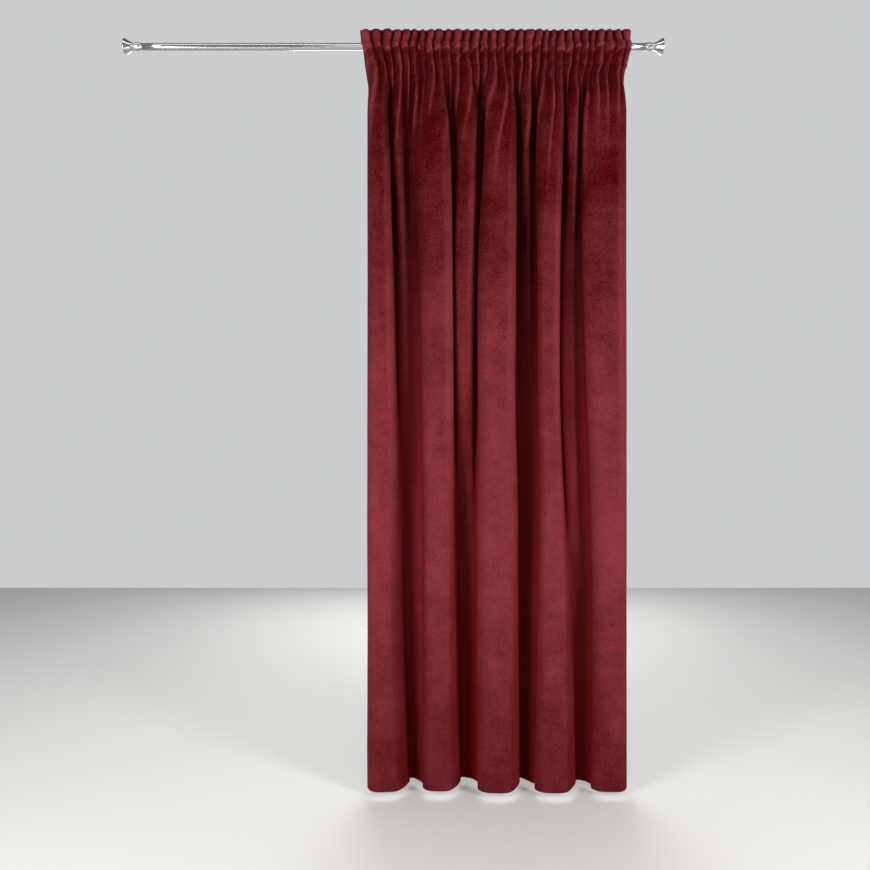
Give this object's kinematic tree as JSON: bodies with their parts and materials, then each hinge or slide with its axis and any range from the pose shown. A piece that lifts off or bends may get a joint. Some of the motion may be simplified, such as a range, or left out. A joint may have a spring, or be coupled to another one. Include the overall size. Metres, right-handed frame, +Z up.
{
  "type": "velvet curtain on a curtain rod",
  "caption": "Floor-length velvet curtain gathered by its rod pocket, with a standing frill, on a round metal rod that has a trumpet finial at each end.",
  "frame": {"origin": "on the rod's axis, halfway along the rod", "axes": "+X along the rod, to the right as seen from the room; +Y towards the wall; +Z up"},
  "size_m": [1.928, 0.1304, 2.709],
  "materials": {
    "velvet": "wine red cotton velvet with a short upright pile, plain woven reverse",
    "bright_metal": "polished chrome plate"
  },
  "bodies": {
    "root": {"curtain": "velvet", "rod": "bright_metal", "finial_right": "bright_metal", "finial_left": "bright_metal"}
  },
  "joints": []
}
